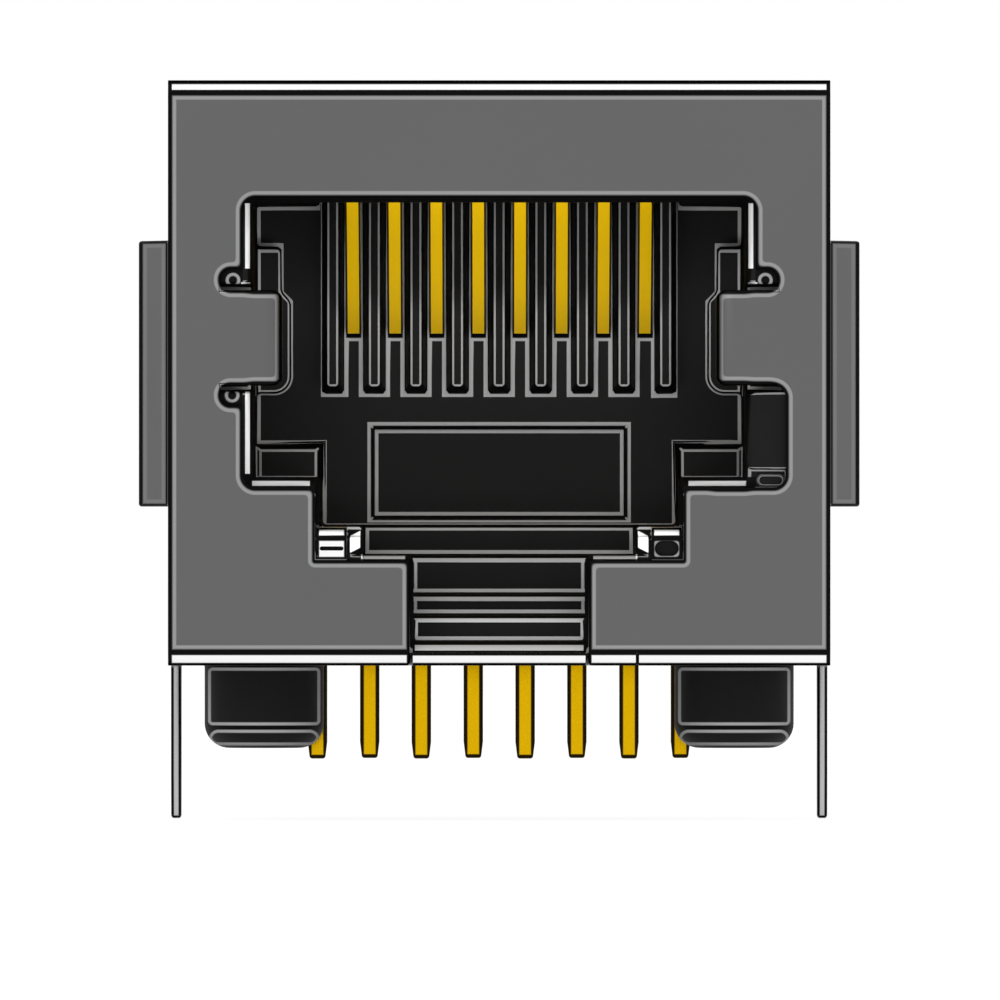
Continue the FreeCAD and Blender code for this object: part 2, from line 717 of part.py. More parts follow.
def core_pockets(side):
    """Two pockets in the underside on one side: below the floor, and below the ledge."""
    back = BAY_FRONT - CORE_WALL
    floor_front = TREAD_DEPTHS[1] + CORE_WALL
    ledge_front = PEG_SETBACK + PEG_DIAMETER / 2 + CORE_RIB
    under_floor = [
        (CORE_RIB / 2, floor_front, CORE_CORNER),
        (RAIL_HALF, floor_front, CORE_CORNER),
        (RAIL_HALF, back, CORE_CORNER),
        (CORE_RIB / 2, back, CORE_CORNER),
    ]
    under_ledge = [
        (RAIL_HALF + CORE_RIB, ledge_front, CORE_CORNER),
        (BODY_HALF - CORE_RIB, ledge_front, CORE_CORNER),
        (BODY_HALF - CORE_RIB, back, CORE_CORNER),
        (RAIL_HALF + CORE_RIB, back, CORE_CORNER),
    ]
    low = upward(sided(under_floor, side), -PAST, STEP_FLOOR - CORE_WALL)
    high = upward(sided(under_ledge, side), -PAST, RAIL_TOP - CORE_WALL)
    return [low, high]


def peg(side):
    """A locating peg, turned about its own axis, with a rounded lower edge."""
    radius = PEG_DIAMETER / 2
    profile = outline([
        (0, SHEET, 0),
        (0, -PEG_LENGTH, 0),
        (radius, -PEG_LENGTH, PEG_ROUND),
        (radius, SHEET, 0),
    ], front_view)
    turned = profile.revolve(Vector(0, 0, 0), Vector(0, 0, 1), 360)
    turned.translate(Vector(side * PEG_SPACING / 2, PEG_SETBACK, 0))
    return turned


def build_housing():
    """The moulded housing, with its mouth, comb, stops, rails and pegs."""
    housing = housing_blank()
    housing = housing.cut([plug_cavity(), lead_in(), insert_room(), nose_pocket(), key_ledge()])
    added = []
    for side in SIDES:
        housing = housing.cut([tongue_pocket(side), tab_seat(side)] + core_pockets(side))
        added += [corner_pad(side), side_pad(side), peg(side)]
    for i in range(CONTACT_COUNT + 1):
        added.append(comb_rib((i - CONTACT_COUNT / 2) * CONTACT_PITCH))
    housing = housing.fuse(added)
    return housing.removeSplitter()


def barb(side, gap):
    """A ramp on the insert's side that snaps into the bay, grown by a clearance."""
    front = BAY_FRONT + BARB_LENGTH
    back = front + BARB_LENGTH
    ramp = [
        (LEG_HALF - PAST, front, 0),
        (LEG_HALF + gap, front, 0),
        (LEG_HALF + BARB_PROUD + gap, back + gap, 0),
        (LEG_HALF - PAST, back + gap, 0),
    ]
    return upward(sided(ramp, side), BARB_PLACE - gap, BARB_PLACE + BARB_HEIGHT + gap)


def contact_places(number):
    """Where contact 1 to 8 lies across the mouth, its tail across the board, and its row."""
    step = number - (CONTACT_COUNT + 1) / 2
    row = FRONT_ROW if number % 2 else REAR_ROW
    return step * CONTACT_PITCH, step * TAIL_PITCH, row


def jog(here, there, width_here, width_there, z0, z1, front, back):
    """The flat run on top of the insert, where a contact shifts from one pitch to the other."""
    near, far = width_here / 2, width_there / 2
    shape = [
        (here - near, front), (here + near, front), (here + near, JOG_START),
        (there + far, JOG_END), (there + far, back), (there - far, back),
        (there - far, JOG_END), (here - near, JOG_START),
    ]
    return upward(shape, z0, z1)


def round_nose():
    """The front of a contact: around the insert's nose, then back and down to its tip."""
    inner = ARM_THICKNESS / 2
    outer = inner + CONTACT_THICKNESS
    centre = Vector(0, NOSE_CENTRE, ARM_BOTTOM + inner)
    half = CONTACT_THICKNESS / 2
    tip = Vector(0, WALL_DEPTH - CONTACT_TIP_GAP, CONTACT_TIP + half)
    reach = tip - centre
    swing = math.acos((inner + half) / reach.Length)
    leave = math.atan2(reach.z, reach.y) - swing
    down = Vector(0, math.cos(leave), math.sin(leave))
    front = Vector(0, -1, 0)
    up = Vector(0, 0, 1)
    start = Vector(0, JOG_START, 0)
    top_outer, top_inner = centre + up * outer, centre + up * inner
    end_outer, end_inner = tip + down * half, tip - down * half
    edges = [
        Part.makeLine(Vector(0, start.y, top_outer.z), top_outer),
        Part.Arc(top_outer, centre + front * outer, centre + down * outer).toShape(),
        Part.makeLine(centre + down * outer, end_outer),
        Part.makeLine(end_outer, end_inner),
        Part.makeLine(end_inner, centre + down * inner),
        Part.Arc(centre + down * inner, centre + front * inner, top_inner).toShape(),
        Part.makeLine(top_inner, Vector(0, start.y, top_inner.z)),
        Part.makeLine(Vector(0, start.y, top_inner.z), Vector(0, start.y, top_outer.z)),
    ]
    return Part.Face(Part.Wire(edges))


def build_contact(number):
    """A contact strip: hung in the mouth, carried over the insert, and down to the board."""
    here, there, row = contact_places(number)
    face = round_nose()
    face.translate(Vector(here - CONTACT_WIDTH / 2, 0, 0))
    spring = face.extrude(Vector(CONTACT_WIDTH, 0, 0))
    run = jog(here, there, CONTACT_WIDTH, TAIL_WIDTH, GROOVE_FLOOR, CONTACT_TOP,
              JOG_START - SHEET, JOG_END + SHEET)
    height = GROOVE_FLOOR + CONTACT_THICKNESS / 2
    bend = ribbon([
        (JOG_END, height),
        (row, height, TAIL_BEND),
        (row, TAIL_POINT - TAIL_LENGTH),
    ], CONTACT_THICKNESS)
    drop = across(bend, there - TAIL_WIDTH / 2, there + TAIL_WIDTH / 2)
    wide, narrow = TAIL_WIDTH / 2, TAIL_POINT_WIDTH / 2
    point = [
        (there - wide, TAIL_POINT - TAIL_LENGTH), (there - narrow, -TAIL_LENGTH),
        (there + narrow, -TAIL_LENGTH), (there + wide, TAIL_POINT - TAIL_LENGTH),
    ]
    half = CONTACT_THICKNESS / 2
    tip = inward(point, row - half, row + half)
    return spring.fuse([run, drop, tip]).removeSplitter()


def groove(number):
    """What is cut from the insert so that one contact can be laid in from above and behind."""
    here, there, row = contact_places(number)
    narrow = CONTACT_WIDTH / 2 + CONTACT_GAP
    wide = TAIL_WIDTH / 2 + CONTACT_GAP
    ceiling = BAY_TOP + PAST
    inner = ARM_THICKNESS / 2
    around = block(here - narrow, here + narrow, 0, JOG_START, ARM_BOTTOM - PAST, ceiling)
    core = Part.makeCylinder(inner, 2 * ARM_HALF, Vector(-ARM_HALF, NOSE_CENTRE, ARM_BOTTOM + inner),
                             Vector(1, 0, 0))
    arm = block(-ARM_HALF, ARM_HALF, NOSE_CENTRE, JOG_START, ARM_BOTTOM - PAST, GROOVE_FLOOR)
    around = around.cut([core, arm])
    top = jog(here, there, 2 * narrow, 2 * wide, GROOVE_FLOOR, ceiling,
              JOG_START - SHEET, JOG_END + SHEET)
    front = row - CONTACT_THICKNESS / 2
    chase = across([
        (JOG_END, GROOVE_FLOOR),
        (front, GROOVE_FLOOR, TAIL_BEND - CONTACT_THICKNESS / 2),
        (front, -PAST),
        (SHIELD_DEPTH, -PAST),
        (SHIELD_DEPTH, ceiling),
        (JOG_END, ceiling),
    ], there - wide, there + wide)
    return [around, top, chase]


def build_insert():
    """The carrier that holds the contacts: an arm over the plug and a leg down the back."""
    inner = ARM_THICKNESS / 2
    outer = inner + GROOVE_WALL
    centre = ARM_BOTTOM + inner
    arm_top = centre + outer
    arm = block(-ARM_HALF, ARM_HALF, NOSE_CENTRE, BAY_FRONT + SHEET, ARM_BOTTOM, arm_top)
    nose = Part.makeCylinder(outer, 2 * ARM_HALF, Vector(-ARM_HALF, NOSE_CENTRE, centre), Vector(1, 0, 0))
    under = block(-ARM_HALF - PAST, ARM_HALF + PAST, 0, BAY_FRONT, ARM_BOTTOM - PAST, ARM_BOTTOM)
    leg = block(-LEG_HALF, LEG_HALF, BAY_FRONT + INSERT_GAP, BODY_BACK - INSERT_GAP, LEG_LIFT, arm_top)
    insert = arm.fuse([nose.cut(under), leg, barb(-1, 0), barb(1, 0)]).removeSplitter()
    cuts = []
    for number in range(1, CONTACT_COUNT + 1):
        cuts += groove(number)
    return insert.cut(cuts).removeSplitter()


def save(name, shape):
    """Move a finished piece to the part's own origin and write it."""
    shape.translate(Vector(0, -PEG_SETBACK, 0))
    if len(shape.Solids) == 1:
        shape = shape.Solids[0]
    shape.exportStep("parts/" + name + ".step")
    print(name, len(shape.Solids), shape.isValid(), round(shape.Volume, 3))


os.makedirs("parts", exist_ok=True)
save("front_shield", build_front_shield())
save("rear_cover", build_rear_cover())
save("housing", build_housing())
save("contact_insert", build_insert())
for contact_number in range(1, CONTACT_COUNT + 1):
    save("contact_" + str(contact_number), build_contact(contact_number))
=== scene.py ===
import math
from functools import reduce

import bmesh
import bpy
import numpy as np
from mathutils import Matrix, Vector


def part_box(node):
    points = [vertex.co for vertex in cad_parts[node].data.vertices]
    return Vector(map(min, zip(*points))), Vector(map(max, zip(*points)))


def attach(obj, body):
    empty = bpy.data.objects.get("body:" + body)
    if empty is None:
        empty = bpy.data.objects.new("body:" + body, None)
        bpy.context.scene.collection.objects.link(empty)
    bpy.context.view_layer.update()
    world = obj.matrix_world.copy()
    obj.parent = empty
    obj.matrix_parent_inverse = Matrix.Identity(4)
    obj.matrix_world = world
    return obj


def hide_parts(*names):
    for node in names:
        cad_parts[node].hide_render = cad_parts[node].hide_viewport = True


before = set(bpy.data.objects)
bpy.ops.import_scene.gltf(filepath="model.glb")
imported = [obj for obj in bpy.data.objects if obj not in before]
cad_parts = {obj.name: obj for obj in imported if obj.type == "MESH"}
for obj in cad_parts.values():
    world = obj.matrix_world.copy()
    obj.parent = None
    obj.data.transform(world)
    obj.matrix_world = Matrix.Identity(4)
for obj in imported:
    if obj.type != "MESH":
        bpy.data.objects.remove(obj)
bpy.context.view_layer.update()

# Lengths are in millimetres, and MM turns one into the frame's metres. Heights are measured
# from the board, widths from the middle of the mouth, and depths from the front plate.
MM = 0.001

# Sizes read from the frame
SHIELD_LOW, SHIELD_HIGH = [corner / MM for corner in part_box("front_shield")]
HOUSING_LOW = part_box("housing")[0] / MM
FRONT = SHIELD_LOW.y
TOP = SHIELD_HIGH.z
FLOOR = SHIELD_LOW.z
SHEET = HOUSING_LOW.y - FRONT

# Half width of the front plate, and its opening as boxes that overlap: half width, lowest
# and highest point, and radius of the corners. The key window is on the right side alone:
# left, right, low, high and radius.
PLATE_HALF = 8.0
OPENING = (
    (6.19, 9.07, 11.29, 0.30),
    (6.72, 9.07, 9.57, 0.24),
    (5.24, 6.50, 9.50, 0.0),
    (6.72, 6.29, 6.77, 0.23),
    (6.19, 4.295, 6.77, 0.30),
    (4.445, 2.54, 4.60, 0.0),
    (2.165, 0.31, 3.00, 0.0),
)
KEY_WINDOW = (5.0, 6.92, 4.295, 6.77, 0.3)
CORNER_SOFT = 0.15
OPENING_HALF = 6.19
LEAD_IN = 0.3

# The slits beside the latch way, where the plate's lower bend is cut
SLIT_PLACE, SLIT_TOP = 2.165, 0.6

# Outer radius of the bends, and the heights where the front plate begins to roll
BEND = 0.30
UPPER_WITNESS = TOP - BEND
LOWER_WITNESS = 0.32

# Edges of the tabs, the panel springs and the legs, as seen from the front
TAB_INNER, TAB_OUTER, TAB_FOOT, TAB_WITNESS, TAB_TOP = 3.68, 4.415, 2.56, 3.08, 3.35
TAB_DEPTH = (1.7, 1.8)
# The hole in the right tab, drawn as painted shade: left, right, low, high and radius
TAB_HOLE = (3.76, 4.32, 2.65, 3.0, 0.17)
SPRING_LOW, SPRING_HIGH = 3.84, 10.28
LEG_INNER = 7.75

# Widths of the strips in the mouth and of the tails, their pitches, and the tails' ends
STRIP_HALF, STRIP_PITCH = 0.19, 1.016
TAIL_HALF, TAIL_PITCH, TAIL_END = 0.24, 1.27, -2.33

# The run of the contacts down to the board: its highest and its foremost point
DOWN_TOP, DOWN_FRONT = 11, 5

# Around the comb between the strips: half width, lowest point, and where it starts and ends
COMB_HALF, COMB_LOW, COMB_START, COMB_END = 4.41, 6.5, 2, 12.5

# Places that differ by less than this are taken as the same
SAME = 0.008

# How far a face is turned to the front where it carries the front view's lines, from 0 to 1
TURNED = (0.35, 0.40)

# Painted shade line along an edge of the sheet, what it is wider by on the outline, the painted
# highlight line beside it, and the width of the lines' soft sides
LINE = 0.07
OUTLINE_MORE = 0.03
HIGHLIGHT_START, HIGHLIGHT_END = 0.09, 0.17
SOFT = 0.03

# Pegs: their middle, and the two panels on each, as half width, low, high and corner radius
PEG_PLACE = 5.715
PEG_PANELS = ((1.33, -1.44, -0.11, 0.08), (1.31, -1.93, -1.62, 0.2))

# What is seen of the plastic through the mouth: lowest point, half width and depth, each
# with a soft end, and how deep the pieces at the opening's edge reach
MOUTH_LOW, MOUTH_HALF, MOUTH_DEPTH = (0.26, 0.3), (6.95, 7.0), (13.4, 13.5)
MOUTH_EDGE = (2, 2.1)

# On the rear wall under the comb: half width, depth, the tips' painted shadow and a painted
# highlight line
TIP_HALF = 4.05
TIP_DEPTH = (12.3, 12.4)
TIP_SHADE = (7.955, 8.2)
TIP_HIGHLIGHT = (7.885, 7.955)

# The treads of the latch way: the ends of their front faces, the heights between which each
# carries a painted highlight, and where the last of them ends
TREAD_END = 2.03
TREADS = ((0.66, 1.16), (1.30, 1.68), (1.81, 2.77))
TREAD_DEPTH = (10, 10.1)

# The bevelled corner of the floor rails, beside the tabs, which leans by RAIL_LEAN
RAIL_CORNER = (3.36, 3.60, 2.73, 3.13)
RAIL_LEAN = 0.5

# Painted highlight lines along the mouth's edges, as boxes of the right half: left, right, low,
# high
LIP_HIGHLIGHT_BOXES = (
    (6.03, 6.13, 9.60, 11.16),
    (6.03, 6.13, 4.64, 6.70),
    (4.58, 5.96, 4.35, 4.455),
    (6.02, 6.23, 9.14, 9.25),
    (2.28, 3.33, 2.58, 2.68),
    (-2.03, 2.03, 0.37, 0.49),
)

# The key window's plastic: where it starts, its highest point, and where the painted
# highlight line below it stops
KEY_START, KEY_TOP, KEY_LINE_END = 5.89, 6.8, 5.97

# The sill of the mouth on each side of the latch way: left, right, low, high
SILL_ACROSS, SILL_UP = (4.38, 6.25), (4.15, 4.56)

# Middles of the painted highlight rings at the round ends of the tongues' notches, and their
# radius
NOTCH_RING_MIDDLES = ((6.43, 9.31), (6.45, 6.53))
NOTCH_RING_RADIUS = 0.14

# Rounding of the edges of each stamping and moulding, the share of the room beside an edge
# that it may take, the widest and the narrowest that is drawn smooth, and its steps
SHEET_ROUND = 0.07
PLASTIC_ROUND = 0.14
COMB_ROUND = 0.065
INSERT_ROUND = 0.08
STRIP_ROUND = 0.05
TAIL_ROUND = 0.12
SHEET_SHARE, SHARE = 0.35, 0.42
WIDEST = PLASTIC_ROUND
THINNEST = 0.001
ROUND_STEPS = 4

# Angles of an edge that is rounded, and of a turn that keeps two edges in one run
SHARP_ANGLE = math.radians(38)
GENTLE_TURN = math.radians(60)

# Colours, as linear red, green and blue
NICKEL = (0.135, 0.135, 0.137)
# Painted highlight: the rolled bends and the tabs, written near white
ROLL_NICKEL_HIGHLIGHT = (0.93, 0.93, 0.93)
LEG_NICKEL = (0.50, 0.50, 0.50)
# Painted light: the springs' nickel, written lighter to make up for how little light their
# slanted faces return
BRIGHTENED_SPRING = (0.23, 0.23, 0.23)
# Painted highlight beside the sheet's edges, on its rounded edges and around the tab's hole
EDGE_NICKEL_HIGHLIGHT = (0.31, 0.31, 0.31)
# Painted shade: dark lines along the sheet's edges and bends, and the hole in the right tab
NICKEL_SHADE = (0.006, 0.006, 0.006)
# Sheared edges of the sheet, darkened further as painted shade where they turn from the front
SHEARED_EDGE_SHADE = (0.03, 0.03, 0.03)
PLASTIC = (0.0088, 0.0088, 0.0088)
# Painted highlight on the plastic's edges and lines
PLASTIC_EDGE_HIGHLIGHT = (0.30, 0.30, 0.30)
# Painted highlight along the mouth's lips and on the rails' bevelled corners
LIP_HIGHLIGHT = (0.80, 0.80, 0.80)
# Dimmer painted highlight: rims deep in the mouth, and rings in the notches
DIM_HIGHLIGHT = (0.12, 0.12, 0.12)
PLASTIC_SHADE = (0.0012, 0.0012, 0.0012)
GOLD = (0.67, 0.395, 0.002)
# Dull gold of the springs in the mouth, written brighter as painted light to make up for the
# shade there
MOUTH_GOLD_BRIGHTENED = (0.98, 0.60, 0.003)
# Painted shade on the gold's edges
GOLD_EDGE_SHADE = (0.012, 0.008, 0.003)

# Strength of the light that the room sheds
ROOM_LIGHT = 0.5

# The camera: width of its view and of its sensor, focal length, and place across and up
VIEW_WIDTH, SENSOR, LENS = 24.15, 36, 1600
EYE_ACROSS, EYE_UP = 0.02, 4.0


class Wire:
    """A number socket that takes part in arithmetic: every operator adds one Math node."""

    def __init__(self, tree, socket):
        self.tree = tree
        self.socket = socket

    def math(self, operation, *values):
        node = self.tree.nodes.new("ShaderNodeMath")
        node.operation = operation
        for slot, value in zip(node.inputs, (self,) + values):
            join(self.tree, value, slot)
        return Wire(self.tree, node.outputs[0])

    def __add__(self, other):
        return self.math("ADD", other)

    __radd__ = __add__

    def __mul__(self, other):
        return self.math("MULTIPLY", other)

    __rmul__ = __mul__

    def __sub__(self, other):
        return self.math("SUBTRACT", other)

    def __rsub__(self, other):
        return (self * -1) + other

    def __truediv__(self, other):
        return self.math("DIVIDE", other)

    def size(self):
        """The value without its sign."""
        return self.math("ABSOLUTE")

    def larger(self, other):
        """The larger of two values."""
        return self.math("MAXIMUM", other)

    def smaller(self, other, soft=0.0):
        """The smaller of two values, with the corner between them rounded."""
        return self.math("SMOOTH_MIN", other, soft)

    def rise(self, low, high):
        """0 below the lower value and 1 above the higher one, with a soft step between."""
        node = self.tree.nodes.new("ShaderNodeMapRange")
        node.interpolation_type = "SMOOTHSTEP"
        join(self.tree, self, node.inputs["Value"])
        node.inputs["From Min"].default_value = low
        node.inputs["From Max"].default_value = high
        return Wire(self.tree, node.outputs[0])

    def fall(self, low, high):
        """1 below the lower value and 0 above the higher one, with a soft step between."""
        return 1 - self.rise(low, high)

    def above(self, level):
        """1 above a level and 0 below it, with a soft step between."""
        return self.rise(level - SOFT / 2, level + SOFT / 2)

    def below(self, level):
        """0 above a level and 1 below it, with a soft step between."""
        return 1 - self.above(level)

    def band(self, low, high):
        """1 between two values and 0 outside them, with soft steps."""
        return self.above(low) * self.below(high)


def join(tree, value, slot):
    """Links a wire to a socket, or writes a plain value into it."""
    if isinstance(value, Wire):
        tree.links.new(value.socket, slot)
    elif hasattr(value, "__len__") and len(value) == 3 and slot.type == "RGBA":
        slot.default_value = (*value, 1)
    else:
        slot.default_value = value


def union(masks):
    """1 wherever one of several masks is 1."""
    return reduce(Wire.larger, masks)


def nearest(distances, soft=0.0):
    """The smallest of several distances, with the corners between them rounded."""
    return reduce(lambda one, other: one.smaller(other, soft), distances)


class Finish:
    """A material being made, with one method that adds any node to it."""

    def __init__(self, name):
        self.material = bpy.data.materials.new(name)
        self.material.use_nodes = True
        self.tree = self.material.node_tree
        self.shader = self.tree.nodes["Principled BSDF"]
        self.colour = None
        place = self.node("ShaderNodeTexCoord").outputs["Object"]
        self.place = Wire(self.tree, place)
        self.x, self.y, self.z = [part / MM for part in self.parts(self.place)]
        self.wide = self.x.size()
        self.depth = self.y - FRONT
        normal = Wire(self.tree, self.node("ShaderNodeNewGeometry").outputs["Normal"])
        tilts = self.parts(normal)
        self.ahead = tilts[1] * -1
        self.facing = union([tilt.size() for tilt in tilts])

    def node(self, kind, settings=None, inputs=None):
        """Adds a node of a type, with its settings first and then its sockets."""
        node = self.tree.nodes.new(kind)
        for key, value in (settings or {}).items():
            setattr(node, key, value)
        for key, value in (inputs or {}).items():
            join(self.tree, value, node.inputs[key])
        return node

    def parts(self, vector):
        """The three parts of a vector."""
        split = self.node("ShaderNodeSeparateXYZ", inputs={"Vector": vector})
        return [Wire(self.tree, socket) for socket in split.outputs]

    def noise(self, scale, detail=3, stretch=(1, 1, 1), roughness=0.5):
        """Soft noise from 0 to 1, with its scale in waves a millimetre."""
        factors = tuple(part * scale / MM for part in stretch)
        spread = self.node("ShaderNodeVectorMath", {"operation": "MULTIPLY"},
                           {0: self.place, 1: factors})
        cloud = self.node("ShaderNodeTexNoise", {"noise_dimensions": "3D"}, {
            "Vector": Wire(self.tree, spread.outputs[0]), "Scale": 1.0,
            "Detail": detail, "Roughness": roughness})
        return Wire(self.tree, cloud.outputs[0])

    def blend(self, mask, first, second):
        """One colour where the mask is 0 and the other where it is 1."""
        mixed = self.node("ShaderNodeMix", {"data_type": "RGBA"},
                          {0: mask, 6: first, 7: second})
        return Wire(self.tree, mixed.outputs[2])

    def paint(self, mask, colour):
        """Lays a colour over the one so far, where the mask is 1."""
        self.colour = self.blend(mask, self.colour, colour)

    def shade(self, colour, amount):
        """A colour made lighter or darker by a factor that varies over the surface."""
        shaded = self.node("ShaderNodeVectorMath", {"operation": "SCALE"},
                           {0: colour, "Scale": amount})
        return Wire(self.tree, shaded.outputs[0])

    def beside(self, across, left, right, low, high, radius):
        """How far a point lies outside a round-cornered box of the front view."""
        total = 0
        for value, first, last in ((across, left, right), (self.z, low, high)):
            half = (last - first) / 2 - radius
            past = ((value - (first + last) / 2).size() - half).larger(0)
            total = past * past + total
        return total.math("SQRT") - radius

    def inside_row(self, pitch, half):
        """How far inside the nearest strip a point lies, in a row of an even number."""
        return self.x.math("PINGPONG", pitch / 2) - (pitch / 2 - half)

    def bump(self, height, depth):
        """Raises the surface by a height from 0 to 1, over a depth in millimetres."""
        raised = self.node("ShaderNodeBump", None, {
            "Height": height, "Distance": depth * MM, "Strength": 1.0})
        self.set(Normal=Wire(self.tree, raised.outputs[0]))

    def set(self, **values):
        """Writes sockets of the shader, named with underscores for spaces."""
        for key, value in values.items():
            join(self.tree, value, self.shader.inputs[key.replace("_", " ")])


class Sheet:
    """Where the parts of the stamped sheets lie, each as a mask from 0 to 1."""

    def __init__(self, made):
        wide, z, depth = made.wide, made.z, made.depth
        self.ahead = made.ahead.rise(*TURNED)
        self.leg = z.fall(-0.1, 0)
        self.spring = wide.rise(PLATE_HALF + 0.02, PLATE_HALF + 0.04)
        self.tab = (wide.band(TAB_INNER - 0.1, TAB_OUTER + 0.03)
                    * z.band(TAB_FOOT, TAB_TOP + 0.1) * depth.fall(*TAB_DEPTH))
        self.pierced = made.x.rise(-1, 1) * self.tab * z.below(TAB_WITNESS)
        self.front = depth.fall(BEND, 1.15 * BEND)
        self.rolled = z.above(UPPER_WITNESS).larger(z.below(LOWER_WITNESS)) * self.front
        self.plate = self.front * self.ahead * (1 - self.tab)
        self.cut = (self.front * made.ahead.size().fall(*TURNED)
                    * (1 - self.rolled) * (1 - self.tab))


def plate_edge(made):
    """On the front plate, the distance to its outline, its opening and its bend lines."""
    rims = [PLATE_HALF - OUTLINE_MORE - made.wide]
    rims += [made.beside(made.wide, -half, half, low, high, radius)
             for half, low, high, radius in OPENING]
    rims.append(made.beside(made.x, *KEY_WINDOW))
    bends = [(made.z - level).size() for level in (UPPER_WITNESS, LOWER_WITNESS)]
    return nearest([nearest(rims, CORNER_SOFT)] + bends)


def sheet_lines(made, sheet):
    """The painted shade along the edges of the sheet, and the painted highlight lines beside
    them.
    """
    wide, z = made.wide, made.z
    on_plate = plate_edge(made)
    on_tab = nearest([wide - TAB_INNER, TAB_OUTER - wide, (z - TAB_WITNESS).size(),
                      (z - TAB_FOOT).size(), TAB_TOP - z])
    on_leg = nearest([PLATE_HALF - wide, wide - LEG_INNER, z - FLOOR])
    tip = SHIELD_HIGH.x - OUTLINE_MORE - wide + made.ahead.fall(0, 0.1)
    on_spring = nearest([tip, wide - PLATE_HALF, SPRING_HIGH - z, z - SPRING_LOW])
    # Painted shade along the plate's outline, opening and bends, the slits, and the edges of the
    # tabs, legs and springs
    dark = union([
        on_plate.below(LINE) * sheet.plate,
        z.above(TOP - LINE - OUTLINE_MORE).larger(z.below(LINE)) * sheet.front,
        (wide - SLIT_PLACE).size().below(LINE) * sheet.front * z.below(SLIT_TOP),
        on_tab.below(LINE) * sheet.tab * sheet.ahead,
        on_leg.below(LINE) * sheet.leg * sheet.ahead,
        on_spring.below(LINE) * sheet.spring,
    ])
    # Painted highlight lines beside the edges of the plate and of the springs
    edge_highlight = union([
        on_plate.band(HIGHLIGHT_START, HIGHLIGHT_END) * sheet.plate * (1 - sheet.rolled),
        on_spring.band(HIGHLIGHT_START, HIGHLIGHT_END) * sheet.spring,
    ])
    return dark, edge_highlight


def nickel(name, rim):
    """Dull nickel plate on rolled sheet, with painted highlights where it is rolled and painted
    shade along its edges.
    """
    made = Finish(name)
    sheet = Sheet(made)
    cloud = made.noise(0.35, detail=4)
    grain = made.noise(1.6, detail=5, stretch=(1, 1, 14), roughness=0.6)
    dark, edge_highlight = sheet_lines(made, sheet)
    made.colour = NICKEL
    # Painted highlight on the rolled bends and the tabs
    made.paint(sheet.rolled.larger(sheet.tab), ROLL_NICKEL_HIGHLIGHT)
    made.paint(sheet.leg, LEG_NICKEL)
    # Painted light on the panel springs
    made.paint(sheet.spring, BRIGHTENED_SPRING)
    # Painted shade for the hole in the right tab, with a painted highlight ring around it
    made.paint(sheet.pierced, NICKEL_SHADE)
    made.paint(sheet.pierced * made.beside(made.wide, *TAB_HOLE).band(0, LINE), EDGE_NICKEL_HIGHLIGHT)
    if rim:
        # Painted highlight on rounded edges that are turned partly to the front
        lit_rim = made.facing.fall(0.97, 0.995) * made.facing.rise(0.75, 0.85)
        made.paint(lit_rim * (1 - sheet.front), EDGE_NICKEL_HIGHLIGHT)
    # Sheared edges, with painted shade where the sheet turns from the front
    made.paint(sheet.cut, SHEARED_EDGE_SHADE)
    # Painted highlight lines beside the edges
    made.paint(edge_highlight, EDGE_NICKEL_HIGHLIGHT)
    made.colour = made.shade(made.colour, 0.95 + 0.06 * cloud + 0.04 * grain)
    # Painted shade along the edges
    made.paint(dark, NICKEL_SHADE)
    made.set(Base_Color=made.colour, Metallic=1.0, Specular_Tint=(0.35, 0.35, 0.35),
             Roughness=0.3 + 0.12 * cloud + 0.06 * grain)
    made.bump(grain, 0.0012)
    return made.material


def paint_opening(made, near):
    """Painted highlight lines along the mouth's edges, painted shade on its sill and in the
    notches, and painted highlight rings in the notches.
    """
    wide, z = made.wide, made.z
    outer = wide.above(OPENING_HALF)
    key = made.x.above(KEY_START) * z.below(KEY_TOP)
    notch = outer * near * (1 - key)
    sill = wide.band(*SILL_ACROSS) * z.band(*SILL_UP) * near * (1 - outer * key)
    # Painted shade in the notches and on the sill
    made.paint(notch.larger(sill), PLASTIC_SHADE)
    from_ring_middle = nearest([((wide - across) * (wide - across) + (z - up) * (z - up)).math("SQRT")
                    for across, up in NOTCH_RING_MIDDLES])
    ring = from_ring_middle.band(NOTCH_RING_RADIUS - LINE / 2, NOTCH_RING_RADIUS + LINE / 2)
    # Painted highlight rings in the notches
    made.paint(notch * ring, DIM_HIGHLIGHT)
    lip = nearest([made.beside(wide, *box, 0) for box in LIP_HIGHLIGHT_BOXES])
    # Painted highlight lines along the mouth's lips
    made.paint(lip.below(0) * near * (1 - key * wide.above(KEY_LINE_END)), LIP_HIGHLIGHT)


def paint_rails(made, near):
    """The bevelled corners of the floor rails, white as they catch the light."""
    left, right, low, high = RAIL_CORNER
    hidden = (made.wide.band(left - 0.06, right + 0.06) * made.z.band(low - 0.03, high + 0.16)
              * near)
    lean = made.z - (right - made.wide) * RAIL_LEAN
    made.paint(hidden, PLASTIC_SHADE)
    made.paint(hidden * made.wide.band(left, right) * lean.band(low, high), LIP_HIGHLIGHT)


def paint_pegs(made):
    """Two panels on each peg, with painted highlight outlines and painted shade around them."""
    peg = made.z.fall(-0.04, 0)
    across = (made.wide - PEG_PLACE).size()
    past = LINE / 2 + nearest([made.beside(across, -half, half, low, high, radius)
                               for half, low, high, radius in PEG_PANELS])
    made.paint(past.above(LINE) * peg, PLASTIC_SHADE)
    # Painted highlight outlines around the peg panels
    made.paint(past.band(0, LINE) * peg, PLASTIC_EDGE_HIGHLIGHT)


